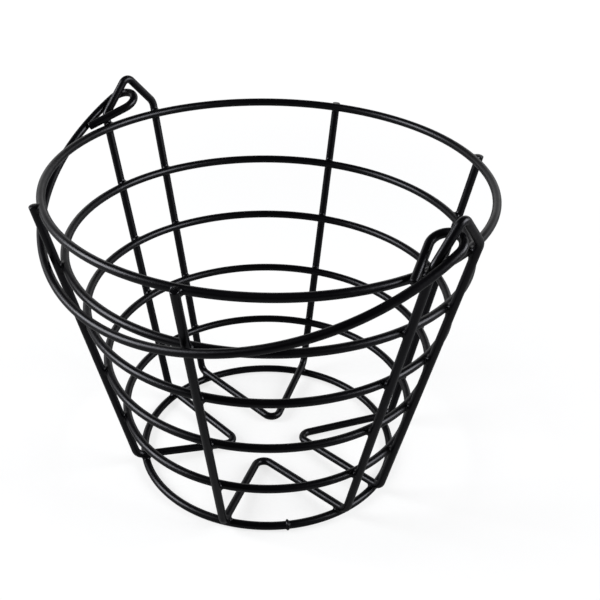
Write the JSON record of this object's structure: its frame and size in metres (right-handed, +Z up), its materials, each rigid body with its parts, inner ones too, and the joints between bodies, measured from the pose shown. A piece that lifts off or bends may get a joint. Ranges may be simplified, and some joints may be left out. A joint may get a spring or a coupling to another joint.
{
  "type": "wire egg basket",
  "caption": "Round tapered wire egg basket of stacked hoops on bent frame wires, with floor fingers, two ears and a swinging half-round bail handle.",
  "frame": {"origin": "middle of the foot hoop, on the surface that the basket stands on", "axes": "+Z up the basket's middle; +X through one ear, along the line that the bail swings about; the bail lies folded on the -Y side"},
  "size_m": [0.2282, 0.21, 0.1762],
  "materials": {
    "coated_wire": "black dipped coating, semi-gloss, over round steel wire"
  },
  "bodies": {
    "basket": {"rim_hoop": "coated_wire", "hoop_2": "coated_wire", "hoop_3": "coated_wire", "hoop_4": "coated_wire", "hoop_5": "coated_wire", "foot_hoop": "coated_wire", "frame_wire_right": "coated_wire", "frame_wire_left": "coated_wire"},
    "bail": {"bail": "coated_wire"}
  },
  "joints": [
    {"name": "bail_swing", "type": "hinge", "parent": "basket", "child": "bail", "pos_m": [0, 0, 0.1674], "axis": [-1, 0, 0], "range_deg": [0, 228.1]}
  ]
}
